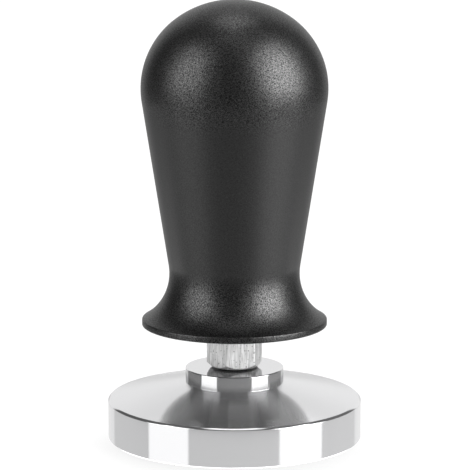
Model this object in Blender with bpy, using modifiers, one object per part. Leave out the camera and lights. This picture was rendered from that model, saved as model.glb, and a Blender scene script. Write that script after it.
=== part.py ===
"""Espresso tamper with a sprung handle, as an assembly of separate pieces.

The solid round base screws on to a hexagonal stem. The hollow handle slides on that stem against a
coil spring, and its hexagonal guide bush stops it from turning. At rest the spring holds the bush up
against a piston at the head of the stem, and a pin inside the spring stops the press.
Units are metres, +Z is up, and the origin is the centre of the base's underside.
"""

from math import acos, atan2, cos, degrees, hypot, pi, radians, sin, tan

import bmesh
import bpy
from mathutils import Matrix, Vector

MM = 0.001

# Clearances
FACE_GAP = 0.3 * MM  # between a piece and the face that it rests on
RUN_GAP = 0.3 * MM  # round a piece that slides, or that drops into a recess
THREAD_GAP = 0.3 * MM  # between a plain shank and its threaded hole

# Base
BASE_RADIUS = 25.5 * MM
BASE_FOOT_EDGE = 0.25 * MM
RIM_HEIGHT = 8.0 * MM
RIM_EDGE = 0.4 * MM
CONE_RISE = 3.3 * MM
COLLAR_RADIUS = 9.85 * MM
COLLAR_HEIGHT = 3.0 * MM
COLLAR_EDGE = 0.15 * MM

# Stem
STEM_ACROSS_FLATS = 10.0 * MM
STEM_TURN = radians(-15.0)  # a corner of the hexagon lies this far past +Y
STEM_FOOT_RADIUS = 4.7 * MM
STEM_CHAMFER = radians(42.0)  # rise of the turned foot, from the horizontal
SPIGOT_RADIUS = 3.6 * MM

# Stud between base and stem, M6
STUD_RADIUS = 3.0 * MM
STUD_IN_BASE = 8.5 * MM
STUD_IN_STEM = 8.0 * MM
STUD_CHAMFER = 0.5 * MM
STUD_SOCKET = 3.0 * MM
STUD_SOCKET_DEPTH = 3.0 * MM
HOLE_SPARE = 0.6 * MM  # how much deeper a blind hole is than what goes in it
DRILL_POINT = radians(31.0)  # slope of a drilled hole's end

# Handle, outside
PRESS_GAP = 8.8 * MM  # from the collar's top to the handle's underside, at rest
HANDLE_HEIGHT = 65.2 * MM
BALL_RADIUS = 18.59 * MM
SHOULDER_INSET = 1.5 * MM  # how far the shoulder's arc is centred from the axis
CROWN_ANGLE = radians(37.2)  # where the crown's arc meets the shoulder's, from the axis
WAIST_WALL = 4.1 * MM  # outside the bush's bore
WAIST_CURVE = 10.6 * MM  # radius of the hollow arc from the taper to the flange's edge
FLANGE_RADIUS = 18.27 * MM
FLANGE_LAND = 1.2 * MM  # height of the flange's straight rim
FLANGE_EDGE = 0.1 * MM

# Cover and its screws, M2
COVER_LEDGE = 5.0 * MM  # by which the cover is wider than the bush's bore, for its screws
COVER_THICKNESS = 2.0 * MM
COVER_SINK = 0.3 * MM
SCREW_COUNT = 3
SCREW_FIRST_ANGLE = radians(90.0)
SCREW_RADIUS = 1.0 * MM
SCREW_HEAD_RADIUS = 1.8 * MM
SCREW_HEAD_LAND = 0.2 * MM
SCREW_LENGTH = 4.8 * MM
SCREW_SOCKET = 1.3 * MM
SCREW_SOCKET_DEPTH = 0.8 * MM

# Guide bush, return buffer and piston
BUSH_WALL = 2.6 * MM  # outside the hexagon's corners
BUSH_LENGTH = 12.0 * MM
BUFFER_THICKNESS = 1.5 * MM
BORE_STEP = 0.4 * MM  # by which the spring chamber is narrower than the bush's bore
PISTON_HEIGHT = 5.0 * MM
PISTON_BOSS_HEIGHT = 1.5 * MM
PISTON_EDGE = 0.4 * MM

# Stop washer and screw at the head of the stem, M4
STOP_WASHER_THICKNESS = 1.0 * MM
STOP_SCREW_RADIUS = 2.0 * MM
STOP_SCREW_HEAD_RADIUS = 3.8 * MM
STOP_SCREW_HEAD_HEIGHT = 2.2 * MM
STOP_SCREW_LENGTH = 8.0 * MM
STOP_SCREW_SOCKET = 2.5 * MM
STOP_SCREW_SOCKET_DEPTH = 1.3 * MM

# Spring and upper seat
TRAVEL = 6.5 * MM
WIRE_DIAMETER = 2.0 * MM
SPRING_TURNS = 7
SPRING_LENGTH = 24.0 * MM  # installed, at rest
CLOSED_COIL_GAP = 0.15 * MM
SPRING_SIDE_GAP = 0.4 * MM
SEAT_THICKNESS = 2.0 * MM
SEAT_EDGE = 0.4 * MM

# How finely round shapes are divided
LARGE_SEGMENTS = 64
MEDIUM_SEGMENTS = 40
SMALL_SEGMENTS = 24
COIL_STEPS_PER_TURN = 20
ARC_STEP = radians(7.0)
SHARP_ANGLE = radians(25.0)
MERGE_DISTANCE = 1e-6
CUTTER_REACH = 5.0 * MM  # how far a cutter runs past the face that it opens

# Heights that follow, from the table up
CONE_TOP = RIM_HEIGHT + CONE_RISE
COLLAR_TOP = CONE_TOP + COLLAR_HEIGHT
STEM_FOOT = COLLAR_TOP + FACE_GAP
HANDLE_FOOT = COLLAR_TOP + PRESS_GAP
HANDLE_TOP = HANDLE_FOOT + HANDLE_HEIGHT
COVER_BOTTOM = HANDLE_FOOT + COVER_SINK
COVER_TOP = COVER_BOTTOM + COVER_THICKNESS
RECESS_TOP = COVER_TOP + FACE_GAP
BUSH_BOTTOM = COVER_TOP + FACE_GAP
BUSH_TOP = BUSH_BOTTOM + BUSH_LENGTH
BUFFER_BOTTOM = BUSH_TOP + FACE_GAP
BUFFER_TOP = BUFFER_BOTTOM + BUFFER_THICKNESS
PISTON_BOTTOM = BUFFER_TOP + FACE_GAP
PISTON_TOP = PISTON_BOTTOM + PISTON_HEIGHT
BOSS_TOP = PISTON_TOP + PISTON_BOSS_HEIGHT
STEM_SHOULDER = PISTON_BOTTOM - FACE_GAP
SPIGOT_TOP = BOSS_TOP - FACE_GAP
WASHER_BOTTOM = BOSS_TOP + FACE_GAP
WASHER_TOP = WASHER_BOTTOM + STOP_WASHER_THICKNESS
STOP_HEAD_BOTTOM = WASHER_TOP + FACE_GAP
STOP_HEAD_TOP = STOP_HEAD_BOTTOM + STOP_SCREW_HEAD_HEIGHT
SPRING_BOTTOM = PISTON_TOP + FACE_GAP
SPRING_TOP = SPRING_BOTTOM + SPRING_LENGTH
SEAT_BOTTOM = SPRING_TOP + FACE_GAP
SEAT_TOP = SEAT_BOTTOM + SEAT_THICKNESS
CHAMBER_TOP = SEAT_TOP + FACE_GAP
STOP_PIN_BOTTOM = STOP_HEAD_TOP + TRAVEL + FACE_GAP

# Radii that follow, from the stem out
STEM_CORNER = STEM_ACROSS_FLATS / 2 / cos(pi / 6)
BUSH_RADIUS = STEM_CORNER + RUN_GAP + BUSH_WALL
BUSH_BORE = BUSH_RADIUS + RUN_GAP
CHAMBER_RADIUS = BUSH_BORE - BORE_STEP
PISTON_RADIUS = CHAMBER_RADIUS - RUN_GAP
SPRING_OUTER = PISTON_RADIUS - RUN_GAP
SPRING_INNER = SPRING_OUTER - WIRE_DIAMETER
SPRING_CORE = SPRING_INNER - SPRING_SIDE_GAP  # what stands inside the spring
WAIST_RADIUS = BUSH_BORE + WAIST_WALL
COVER_RADIUS = BUSH_BORE + COVER_LEDGE
RECESS_RADIUS = COVER_RADIUS + RUN_GAP
SCREW_CIRCLE = (BUSH_BORE + COVER_RADIUS) / 2

# name: base colour, roughness, metallic
FINISHES = {
    "polished_stainless": ((0.78, 0.78, 0.79), 0.06, 1.0),
    "drawn_steel": ((0.62, 0.62, 0.61), 0.42, 1.0),
    "black_anodised": ((0.022, 0.022, 0.023), 0.40, 0.7),
    "black_oxide": ((0.03, 0.03, 0.032), 0.45, 0.9),
    "zinc_plated": ((0.60, 0.62, 0.66), 0.30, 1.0),
    "spring_steel": ((0.42, 0.42, 0.44), 0.32, 1.0),
    "turned_brass": ((0.72, 0.53, 0.24), 0.28, 1.0),
    "natural_acetal": ((0.83, 0.82, 0.78), 0.42, 0.0),
    "buffer_rubber": ((0.04, 0.04, 0.045), 0.80, 0.0),
}


def clear_scene():
    for old in list(bpy.data.objects):
        bpy.data.objects.remove(old, do_unlink=True)


def new_collection(name):
    collection = bpy.data.collections.new(name)
    bpy.context.scene.collection.children.link(collection)
    return collection


def make_material(name):
    color, roughness, metallic = FINISHES[name]
    material = bpy.data.materials.new(name)
    material.use_nodes = True
    shader = material.node_tree.nodes["Principled BSDF"]
    shader.inputs["Base Color"].default_value = (*color, 1.0)
    shader.inputs["Roughness"].default_value = roughness
    shader.inputs["Metallic"].default_value = metallic
    material.diffuse_color = (*color, 1.0)
    return material


def add_object(name, data, collection):
    piece = bpy.data.objects.new(name, data)
    collection.objects.link(piece)
    return piece


# Outlines, as (radius, height) points


def arc(center, radius, start, end):
    """Points of an arc, from the angle start to the angle end, both measured from the +radius axis."""
    steps = max(1, round(abs(end - start) / ARC_STEP))
    angles = [start + (end - start) * i / steps for i in range(steps + 1)]
    return [(center[0] + radius * cos(a), center[1] + radius * sin(a)) for a in angles]


def broken_edge(corner, before, after, size):
    """Two points that take the sharp corner off between its neighbours, size along each side."""
    here = Vector(corner)
    ends = [here + (Vector(other) - here).normalized() * size for other in (before, after)]
    return [tuple(end) for end in ends]


def break_edges(path, sizes):
    """The path with the corners whose indices are in sizes cut back by that size."""
    points = []
    for index, corner in enumerate(path):
        if index in sizes:
            after = path[(index + 1) % len(path)]
            points += broken_edge(corner, path[index - 1], after, sizes[index])
        else:
            points.append(corner)
    return points


def handle_outline():
    """The handle's outside from the middle of the crown down to its flange, in tangent arcs and lines."""
    shoulder_radius = BALL_RADIUS - SHOULDER_INSET
    crown_radius = shoulder_radius + SHOULDER_INSET / sin(CROWN_ANGLE)
    crown_center = (0.0, HANDLE_TOP - crown_radius)
    shoulder_drop = (crown_radius - shoulder_radius) * cos(CROWN_ANGLE)
    shoulder_center = (SHOULDER_INSET, crown_center[1] + shoulder_drop)

    # The hollow arc ends on the flange's upper edge, which sets how far it has turned by then.
    rim_top = HANDLE_FOOT + FLANGE_LAND
    flare = acos(1 - (FLANGE_RADIUS - WAIST_RADIUS) / WAIST_CURVE)
    waist_center = (WAIST_RADIUS + WAIST_CURVE, rim_top + WAIST_CURVE * sin(flare))

    # The taper is the straight line that touches both the shoulder's arc and the waist's.
    across = waist_center[0] - shoulder_center[0]
    down = waist_center[1] - shoulder_center[1]
    reach = (WAIST_CURVE + shoulder_radius) / hypot(across, down)
    taper = -atan2(down, across) - acos(reach)
    print(f"handle taper {degrees(taper):.2f} degrees a side, flare {degrees(flare):.1f} degrees")

    crown_end = pi / 2 - CROWN_ANGLE
    outline = arc(crown_center, crown_radius, pi / 2, crown_end)
    outline[0] = (0.0, HANDLE_TOP)
    outline += arc(shoulder_center, shoulder_radius, crown_end, -taper)[1:]
    outline += arc(waist_center, WAIST_CURVE, pi - taper, pi + flare)[:-1]
    before = outline[-1]
    upper, lower = (FLANGE_RADIUS, rim_top), (FLANGE_RADIUS, HANDLE_FOOT)
    outline += broken_edge(upper, before, lower, FLANGE_EDGE)
    return outline + broken_edge(lower, upper, (0.0, HANDLE_FOOT), FLANGE_EDGE)


def threaded_hole_outline(radius, mouth, floor):
    """A blind hole that opens upwards: its drilled point, its floor's edge and its mouth's edge."""
    return [(0.0, floor - radius * tan(DRILL_POINT)), (radius, floor), (radius, mouth)]


# Solids


def turned(name, outline, segments, collection, closed=False):
    """A turned piece: the outline, which runs down the outer side, spun round the Z axis."""
    mesh = bpy.data.meshes.new(name)
    count = len(outline)
    edges = [(i, i + 1) for i in range(count - 1)] + ([(count - 1, 0)] if closed else [])
    mesh.from_pydata([(r, 0.0, z) for r, z in outline], edges, [])
    piece = add_object(name, mesh, collection)
    spin = piece.modifiers.new("spin", "SCREW")
    spin.axis = "Z"
    spin.angle = 2 * pi
    spin.steps = segments
    spin.render_steps = segments
    spin.use_merge_vertices = True
    spin.merge_threshold = MERGE_DISTANCE
    return settle(piece)


def settle(piece):
    """Applies the modifiers and shades the result smooth between its sharp edges."""
    graph = bpy.context.evaluated_depsgraph_get()
    mesh = bpy.data.meshes.new_from_object(piece.evaluated_get(graph))
    mesh.shade_smooth()
    mesh.set_sharp_from_angle(angle=SHARP_ANGLE)
    mesh.name = piece.name
    piece.modifiers.clear()
    piece.data = mesh
    return piece


def ring(name, inner, outer, bottom, top, segments, collection, edge=0.0):
    """A plain turned ring, with its two outer edges broken by edge."""
    path = [(inner, top), (outer, top), (outer, bottom), (inner, bottom)]
    if edge:
        path = break_edges(path, {1: edge, 2: edge})
    return turned(name, path, segments, collection, closed=True)


def prism(name, sides, radius, bottom, top, turn, collection, center=(0.0, 0.0)):
    """An upright prism, or a cylinder where it has many sides, with a corner at +Y plus turn."""
    shape = bmesh.new()
    bmesh.ops.create_cone(
        shape,
        cap_ends=True,
        segments=sides,
        radius1=radius,
        radius2=radius,
        depth=top - bottom,
        matrix=Matrix.Translation((*center, (bottom + top) / 2)) @ Matrix.Rotation(turn, 4, "Z"),
    )
    mesh = bpy.data.meshes.new(name)
    shape.to_mesh(mesh)
    shape.free()
    return add_object(name, mesh, collection)


def hexagon(name, across_flats, bottom, top, collection, center=(0.0, 0.0), turn=STEM_TURN):
    corner = across_flats / 2 / cos(pi / 6)
    return prism(name, 6, corner, bottom, top, turn, collection, center)


def carve(piece, cutter, operation="DIFFERENCE"):
    """Adds a Boolean with the cutter, which is hidden from the render."""
    cutter.hide_render = True
    cutter.display_type = "WIRE"
    modifier = piece.modifiers.new(cutter.name, "BOOLEAN")
    modifier.operation = operation
    modifier.object = cutter


def coil_mesh(name, collection):
    """The spring's wire: closed end turns, open turns between them, on a curve made into a mesh."""
    radius = (SPRING_OUTER + SPRING_INNER) / 2
    closed_pitch = WIRE_DIAMETER + CLOSED_COIL_GAP
    open_turns = SPRING_TURNS - 2
    climb = SPRING_LENGTH - WIRE_DIAMETER / 2
    open_pitch = (climb - 2 * closed_pitch) / open_turns
    steps = SPRING_TURNS * COIL_STEPS_PER_TURN
    curve = bpy.data.curves.new(name, "CURVE")
    curve.dimensions = "3D"
    curve.bevel_depth = WIRE_DIAMETER / 2
    curve.bevel_resolution = 2
    curve.use_fill_caps = True
    wire = curve.splines.new("POLY")
    wire.points.add(steps)
    height = SPRING_BOTTOM + WIRE_DIAMETER / 4
    for index, point in enumerate(wire.points):
        turns = index / COIL_STEPS_PER_TURN
        opened = min(max(turns - 1, 0), open_turns)
        z = height + (turns - opened) * closed_pitch + opened * open_pitch
        point.co = (radius * cos(2 * pi * turns), radius * sin(2 * pi * turns), z, 1.0)
    guide = add_object(name + "_wire", curve, collection)
    bpy.context.view_layer.update()
    graph = bpy.context.evaluated_depsgraph_get()
    mesh = bpy.data.meshes.new_from_object(guide.evaluated_get(graph))
    shape = bmesh.new()
    shape.from_mesh(mesh)
    bmesh.ops.remove_doubles(shape, verts=shape.verts, dist=MERGE_DISTANCE)
    shape.to_mesh(mesh)
    shape.free()
    bpy.data.objects.remove(guide, do_unlink=True)
    return mesh


# Pieces of the fixed side


def make_tamper_base(parts):
    """The solid base: flat foot, straight rim, shallow cone and collar, with a threaded hole on top."""
    hole = threaded_hole_outline(
        STUD_RADIUS + THREAD_GAP, COLLAR_TOP, COLLAR_TOP - STUD_IN_BASE - HOLE_SPARE
    )
    outside = [
        (COLLAR_RADIUS, COLLAR_TOP),
        (COLLAR_RADIUS, CONE_TOP),
        (BASE_RADIUS - RIM_EDGE, RIM_HEIGHT),
        (BASE_RADIUS, RIM_HEIGHT - RIM_EDGE),
        (BASE_RADIUS, 0.0),
        (0.0, 0.0),
    ]
    path = break_edges(hole + outside, {3: COLLAR_EDGE, 7: BASE_FOOT_EDGE})
    return turned("tamper_base", path, LARGE_SEGMENTS, parts)


def make_base_stud(parts, cutters):
    """The headless socket screw that holds the base to the stem."""
    bottom = COLLAR_TOP - STUD_IN_BASE
    top = STEM_FOOT + STUD_IN_STEM
    path = [(0.0, top), (STUD_RADIUS, top), (STUD_RADIUS, bottom), (0.0, bottom)]
    path = break_edges(path, {1: STUD_CHAMFER, 2: STUD_CHAMFER})
    stud = turned("base_stud", path, SMALL_SEGMENTS, parts)
    socket = hexagon("stud_socket", STUD_SOCKET, top - STUD_SOCKET_DEPTH, top + CUTTER_REACH, cutters)
    carve(stud, socket)
    return stud


def make_hex_stem(parts, cutters):
    """A hexagonal bar, turned down to a cone at its foot and to a round spigot at its head."""
    stem = hexagon("hex_stem", STEM_ACROSS_FLATS, STEM_FOOT, SPIGOT_TOP, parts)
    outside = STEM_CORNER + CUTTER_REACH
    chamfer_top = STEM_FOOT + (outside - STEM_FOOT_RADIUS) * tan(STEM_CHAMFER)
    past_head = SPIGOT_TOP + CUTTER_REACH
    turning = [
        (0.0, past_head),
        (SPIGOT_RADIUS, past_head),
        (SPIGOT_RADIUS, STEM_SHOULDER),
        (outside, STEM_SHOULDER),
        (outside, chamfer_top),
        (STEM_FOOT_RADIUS, STEM_FOOT),
        (STEM_FOOT_RADIUS, STEM_FOOT - CUTTER_REACH),
        (0.0, STEM_FOOT - CUTTER_REACH),
    ]
    carve(stem, turned("stem_turning", turning, LARGE_SEGMENTS, cutters), "INTERSECT")
    stud_hole = STUD_RADIUS + THREAD_GAP
    stud_end = STEM_FOOT + STUD_IN_STEM + HOLE_SPARE
    foot_cutter = prism(
        "stem_stud_hole", SMALL_SEGMENTS, stud_hole, STEM_FOOT - CUTTER_REACH, stud_end, 0.0, cutters
    )
    carve(stem, foot_cutter)
    screw_hole = STOP_SCREW_RADIUS + THREAD_GAP
    screw_end = STOP_HEAD_BOTTOM - STOP_SCREW_LENGTH - HOLE_SPARE
    head_cutter = prism("stem_screw_hole", SMALL_SEGMENTS, screw_hole, screw_end, past_head, 0.0, cutters)
    carve(stem, head_cutter)
    return stem


def make_return_buffer(parts):
    """The rubber ring that takes the knock when the handle springs back."""
    inner = STEM_CORNER + RUN_GAP
    return ring(
        "return_buffer", inner, PISTON_RADIUS, BUFFER_BOTTOM, BUFFER_TOP, MEDIUM_SEGMENTS, parts
    )


def make_guide_piston(parts):
    """The brass piston on the spigot: it runs in the spring chamber and carries the spring."""
    inner = SPIGOT_RADIUS + RUN_GAP
    path = [
        (inner, BOSS_TOP),
        (SPRING_CORE, BOSS_TOP),
        (SPRING_CORE, PISTON_TOP),
        (PISTON_RADIUS, PISTON_TOP),
        (PISTON_RADIUS, PISTON_BOTTOM),
        (inner, PISTON_BOTTOM),
    ]
    path = break_edges(path, {1: PISTON_EDGE, 3: PISTON_EDGE, 4: PISTON_EDGE})
    return turned("guide_piston", path, MEDIUM_SEGMENTS, parts, closed=True)


def make_stop_washer(parts):
    inner = STOP_SCREW_RADIUS + RUN_GAP
    return ring(
        "stop_washer", inner, SPRING_CORE, WASHER_BOTTOM, WASHER_TOP, MEDIUM_SEGMENTS, parts
    )


def make_stop_screw(parts, cutters):
    """The button-head screw that holds the piston on the stem."""
    edge_z = STOP_HEAD_BOTTOM + STOP_SCREW_HEAD_HEIGHT / 3
    crown = STOP_SCREW_HEAD_RADIUS / 2
    foot = STOP_HEAD_BOTTOM - STOP_SCREW_LENGTH
    path = [
        (0.0, STOP_HEAD_TOP),
        (crown, STOP_HEAD_TOP),
        ((STOP_SCREW_HEAD_RADIUS + crown) / 2, STOP_HEAD_TOP - STOP_SCREW_HEAD_HEIGHT / 5),
        (STOP_SCREW_HEAD_RADIUS, edge_z),
        (STOP_SCREW_HEAD_RADIUS, STOP_HEAD_BOTTOM),
        (STOP_SCREW_RADIUS, STOP_HEAD_BOTTOM),
        (STOP_SCREW_RADIUS, foot),
        (0.0, foot),
    ]
    path = break_edges(path, {6: STUD_CHAMFER})
    screw = turned("stop_screw", path, SMALL_SEGMENTS, parts)
    floor = STOP_HEAD_TOP - STOP_SCREW_SOCKET_DEPTH
    carve(screw, hexagon("stop_socket", STOP_SCREW_SOCKET, floor, STOP_HEAD_TOP + CUTTER_REACH, cutters))
    return screw


def make_calibration_spring(parts, cutters):
    """The press spring, with its end turns closed and ground flat."""
    spring = add_object("calibration_spring", coil_mesh("calibration_spring", cutters), parts)
    outside = SPRING_OUTER + CUTTER_REACH
    grinding = prism(
        "spring_grinding", MEDIUM_SEGMENTS, outside, SPRING_BOTTOM, SPRING_TOP, 0.0, cutters
    )
    carve(spring, grinding, "INTERSECT")
    return spring


# Pieces of the handle's side


def make_upper_spring_seat(parts):
    """The washer over the spring, with the pin that stops the press on the screw below it."""
    path = [
        (0.0, SEAT_TOP),
        (PISTON_RADIUS, SEAT_TOP),
        (PISTON_RADIUS, SEAT_BOTTOM),
        (SPRING_CORE, SEAT_BOTTOM),
        (SPRING_CORE, STOP_PIN_BOTTOM),
        (0.0, STOP_PIN_BOTTOM),
    ]
    path = break_edges(path, {1: SEAT_EDGE, 4: SEAT_EDGE})
    return turned("upper_spring_seat", path, MEDIUM_SEGMENTS, parts)


def make_handle_body(parts, cutters):
    """The hollow handle, bored from below in three steps, with threaded holes for the cover's screws."""
    bores = [
        (RECESS_RADIUS, HANDLE_FOOT),
        (RECESS_RADIUS, RECESS_TOP),
        (BUSH_BORE, RECESS_TOP),
        (BUSH_BORE, BUSH_TOP + FACE_GAP),
        (CHAMBER_RADIUS, BUSH_TOP + FACE_GAP),
        (CHAMBER_RADIUS, CHAMBER_TOP),
        (0.0, CHAMBER_TOP),
    ]
    handle = turned("handle_body", handle_outline() + bores, LARGE_SEGMENTS, parts)
    hole_top = COVER_BOTTOM + SCREW_LENGTH + HOLE_SPARE
    for index, center in enumerate(screw_centers()):
        hole = prism(
            f"handle_screw_hole_{index + 1}",
            SMALL_SEGMENTS,
            SCREW_RADIUS + THREAD_GAP,
            HANDLE_FOOT - CUTTER_REACH,
            hole_top,
            0.0,
            cutters,
            center,
        )
        carve(handle, hole)
    return handle


def screw_centers():
    angles = [SCREW_FIRST_ANGLE + 2 * pi * i / SCREW_COUNT for i in range(SCREW_COUNT)]
    return [(SCREW_CIRCLE * cos(a), SCREW_CIRCLE * sin(a)) for a in angles]


def make_guide_bush(parts, cutters):
    """The plastic bush that slides on the stem: round outside, hexagonal inside."""
    bush = prism(
        "guide_bush", MEDIUM_SEGMENTS, BUSH_RADIUS, BUSH_BOTTOM, BUSH_TOP, 0.0, parts
    )
    carve(
        bush,
        hexagon(
            "bush_hexagon",
            STEM_ACROSS_FLATS + 2 * RUN_GAP,
            BUSH_BOTTOM - CUTTER_REACH,
            BUSH_TOP + CUTTER_REACH,
            cutters,
        ),
    )
    return bush


def countersunk_outline(clearance, tip, mouth):
    """A countersunk screw, head down, or the hole for it where there is a clearance."""
    head = SCREW_HEAD_RADIUS + clearance
    shank = SCREW_RADIUS + clearance
    land_top = COVER_BOTTOM + SCREW_HEAD_LAND
    cone_top = land_top + SCREW_HEAD_RADIUS - SCREW_RADIUS
    return [(0.0, tip), (shank, tip), (shank, cone_top), (head, land_top), (head, mouth), (0.0, mouth)]


def make_bottom_cover(parts, cutters):
    """The plate that closes the handle round the stem and carries the bush."""
    cover = prism(
        "bottom_cover", LARGE_SEGMENTS, COVER_RADIUS, COVER_BOTTOM, COVER_TOP, 0.0, parts
    )
    below = COVER_BOTTOM - CUTTER_REACH
    above = COVER_TOP + CUTTER_REACH
    carve(cover, hexagon("cover_hexagon", STEM_ACROSS_FLATS + 2 * RUN_GAP, below, above, cutters))
    for index, center in enumerate(screw_centers()):
        outline = countersunk_outline(THREAD_GAP, above, below)
        hole = turned(f"cover_screw_hole_{index + 1}", outline, SMALL_SEGMENTS, cutters)
        hole.location = (*center, 0.0)
        carve(cover, hole)
    return cover


def make_cover_screws(parts, cutters):
    screws = []
    for index, center in enumerate(screw_centers()):
        outline = countersunk_outline(0.0, COVER_BOTTOM + SCREW_LENGTH, COVER_BOTTOM)
        screw = turned(f"cover_screw_{index + 1}", outline, SMALL_SEGMENTS, parts)
        screw.location = (*center, 0.0)
        socket = hexagon(
            f"cover_screw_socket_{index + 1}",
            SCREW_SOCKET,
            COVER_BOTTOM - CUTTER_REACH,
            COVER_BOTTOM + SCREW_SOCKET_DEPTH,
            cutters,
            center,
        )
        carve(screw, socket)
        screws.append(screw)
    return screws


def finish(piece, material, parent):
    piece.data.materials.clear()
    piece.data.materials.append(material)
    piece.parent = parent


def main():
    clear_scene()
    parts = new_collection("espresso_tamper")
    cutters = new_collection("cutters")
    fixed = add_object("fixed_side", None, parts)
    pressed = add_object("pressed_side", None, parts)
    materials = {name: make_material(name) for name in FINISHES}

    standing = {
        "polished_stainless": [make_tamper_base(parts)],
        "drawn_steel": [make_hex_stem(parts, cutters)],
        "black_oxide": [make_base_stud(parts, cutters), make_stop_screw(parts, cutters)],
        "buffer_rubber": [make_return_buffer(parts)],
        "turned_brass": [make_guide_piston(parts)],
        "zinc_plated": [make_stop_washer(parts)],
        "spring_steel": [make_calibration_spring(parts, cutters)],
    }
    sliding = {
        "black_anodised": [make_handle_body(parts, cutters), make_bottom_cover(parts, cutters)],
        "natural_acetal": [make_guide_bush(parts, cutters)],
        "zinc_plated": [make_upper_spring_seat(parts)],
        "black_oxide": make_cover_screws(parts, cutters),
    }
    for side, parent in ((standing, fixed), (sliding, pressed)):
        for name, pieces in side.items():
            for piece in pieces:
                finish(piece, materials[name], parent)


main()
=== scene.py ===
# %% [markdown]
# # A sprung espresso tamper
#
# A tamper presses ground coffee flat in its basket. This one has a mirror-polished steel base, a
# hexagonal steel stem and a black handle that slides down the stem against a spring, so that every
# press is equally hard. The frame below holds its exact pieces. Here each of them gets its fine
# surface and its finish, and then the whole tamper gets a small white studio.

# %% Load the frame
from math import acos, atan2, cos, degrees, hypot, pi, radians, sin, tan

import bpy
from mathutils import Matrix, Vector


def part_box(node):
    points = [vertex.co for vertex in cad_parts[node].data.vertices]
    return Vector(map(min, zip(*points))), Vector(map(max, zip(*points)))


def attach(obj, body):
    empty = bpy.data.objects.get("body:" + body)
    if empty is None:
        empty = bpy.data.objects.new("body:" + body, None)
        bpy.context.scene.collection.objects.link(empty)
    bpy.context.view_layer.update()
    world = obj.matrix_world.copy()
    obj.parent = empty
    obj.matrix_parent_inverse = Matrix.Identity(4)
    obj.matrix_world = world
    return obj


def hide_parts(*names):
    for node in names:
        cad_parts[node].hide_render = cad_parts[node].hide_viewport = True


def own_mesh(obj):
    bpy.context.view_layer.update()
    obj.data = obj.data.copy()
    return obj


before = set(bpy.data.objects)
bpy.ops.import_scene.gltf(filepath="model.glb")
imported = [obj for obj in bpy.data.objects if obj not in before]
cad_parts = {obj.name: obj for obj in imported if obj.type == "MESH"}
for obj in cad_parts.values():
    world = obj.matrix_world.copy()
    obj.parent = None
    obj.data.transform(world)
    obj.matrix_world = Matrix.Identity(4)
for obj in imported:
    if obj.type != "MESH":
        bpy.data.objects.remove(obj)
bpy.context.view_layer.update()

MM = 0.001
print("nodes:", ", ".join(sorted(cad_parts)))

# %% [markdown]
# The sizes come from the frame: every round piece has points on the X and Y axes, so half the
# width of its box is its radius. Heights are read the same way. The frame leaves a gap of 0.3 mm
# between its pieces, where the real ones touch or slide.

# %% Read sizes from the frame
GAP = 0.3 * MM


def foot_of(node):
    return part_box(node)[0].z


def top_of(node):
    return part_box(node)[1].z


def radius_of(node):
    low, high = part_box(node)
    return (high.x - low.x) / 2


for node in ("tamper_base", "handle_body", "bottom_cover"):
    heights = f"{foot_of(node) / MM:.2f} to {top_of(node) / MM:.2f}"
    print(f"{node}: radius {radius_of(node) / MM:.2f} mm, height {heights} mm")

# %% [markdown]
# ## How a turned piece is made
#
# Almost everything here comes off a lathe. On a lathe the tool follows half of the outline while
# the bar turns, and the same works in edit mode: one point is extruded along the outline, and the
# Spin operator then turns it round the axis. A round stretch of the outline is itself a small spin,
# of the last point round the arc's centre, so that arcs are true arcs and not hand-placed points.

# %% Trace half of an outline
def begin_outline(name, radius, height):
    """Leaves a mesh of one point in edit mode, in the XZ plane."""
    bpy.ops.object.select_all(action="DESELECT")
    bpy.ops.mesh.primitive_plane_add(size=MM, location=(0, 0, 0))
    bpy.context.object.name = bpy.context.object.data.name = name
    bpy.ops.object.mode_set(mode="EDIT")
    bpy.ops.mesh.select_mode(type="VERT")
    bpy.ops.mesh.merge(type="CENTER")
    bpy.ops.transform.translate(value=(radius, 0, height))


def trace(name, start, strokes):
    """Follows strokes from start: ("line", radius, height), or ("arc", centre, angle, steps)."""
    begin_outline(name, *start)
    here = Vector(start)
    for kind, *stroke in strokes:
        if kind == "line":
            there = Vector(stroke)
            step = there - here
            bpy.ops.mesh.extrude_vertices_move(TRANSFORM_OT_translate={"value": (step.x, 0, step.y)})
        else:
            centre, angle, steps = stroke
            middle = (centre[0], 0, centre[1])
            bpy.ops.mesh.spin(steps=steps, angle=angle, center=middle, axis=(0, 1, 0))
            arm = here - Vector(centre)
            away = arm.x * cos(angle) - arm.y * sin(angle)
            up = arm.x * sin(angle) + arm.y * cos(angle)
            there = Vector(centre) + Vector((away, up))
        here = there
    return bpy.context.object

# %% [markdown]
# After the spin, the first and the last copy of the outline lie on each other, and so do all the
# points on the axis. Merging them closes the skin. Then the normals are made to point outwards.

# %% Turn an outline into a solid
FINE_STEPS = 288
SMALL_STEPS = 96


def straight(*corners):
    """Strokes along straight lines from corner to corner."""
    return [("line", *corner) for corner in corners]


def turn(name, start, strokes, steps=FINE_STEPS, closed=False):
    """Spins an outline round Z. A closed one runs back to its start, as for a ring."""
    piece = trace(name, start, strokes)
    bpy.ops.mesh.select_all(action="SELECT")
    if closed:
        bpy.ops.mesh.remove_doubles(threshold=MM / 1000)
        bpy.ops.mesh.select_all(action="SELECT")
    bpy.ops.mesh.spin(steps=steps, angle=2 * pi, center=(0, 0, 0), axis=(0, 0, 1))
    bpy.ops.mesh.select_all(action="SELECT")
    bpy.ops.mesh.remove_doubles(threshold=MM / 1000)
    bpy.ops.mesh.normals_make_consistent(inside=False)
    bpy.ops.object.mode_set(mode="OBJECT")
    return piece

# %% [markdown]
# No real edge is perfectly sharp. A narrow rounding on each edge catches a thin line of light, and
# weighted normals keep the flat faces beside it optically flat, which matters on a mirror.

# %% Soften edges and shade
FINE_EDGE = 0.03 * MM


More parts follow.
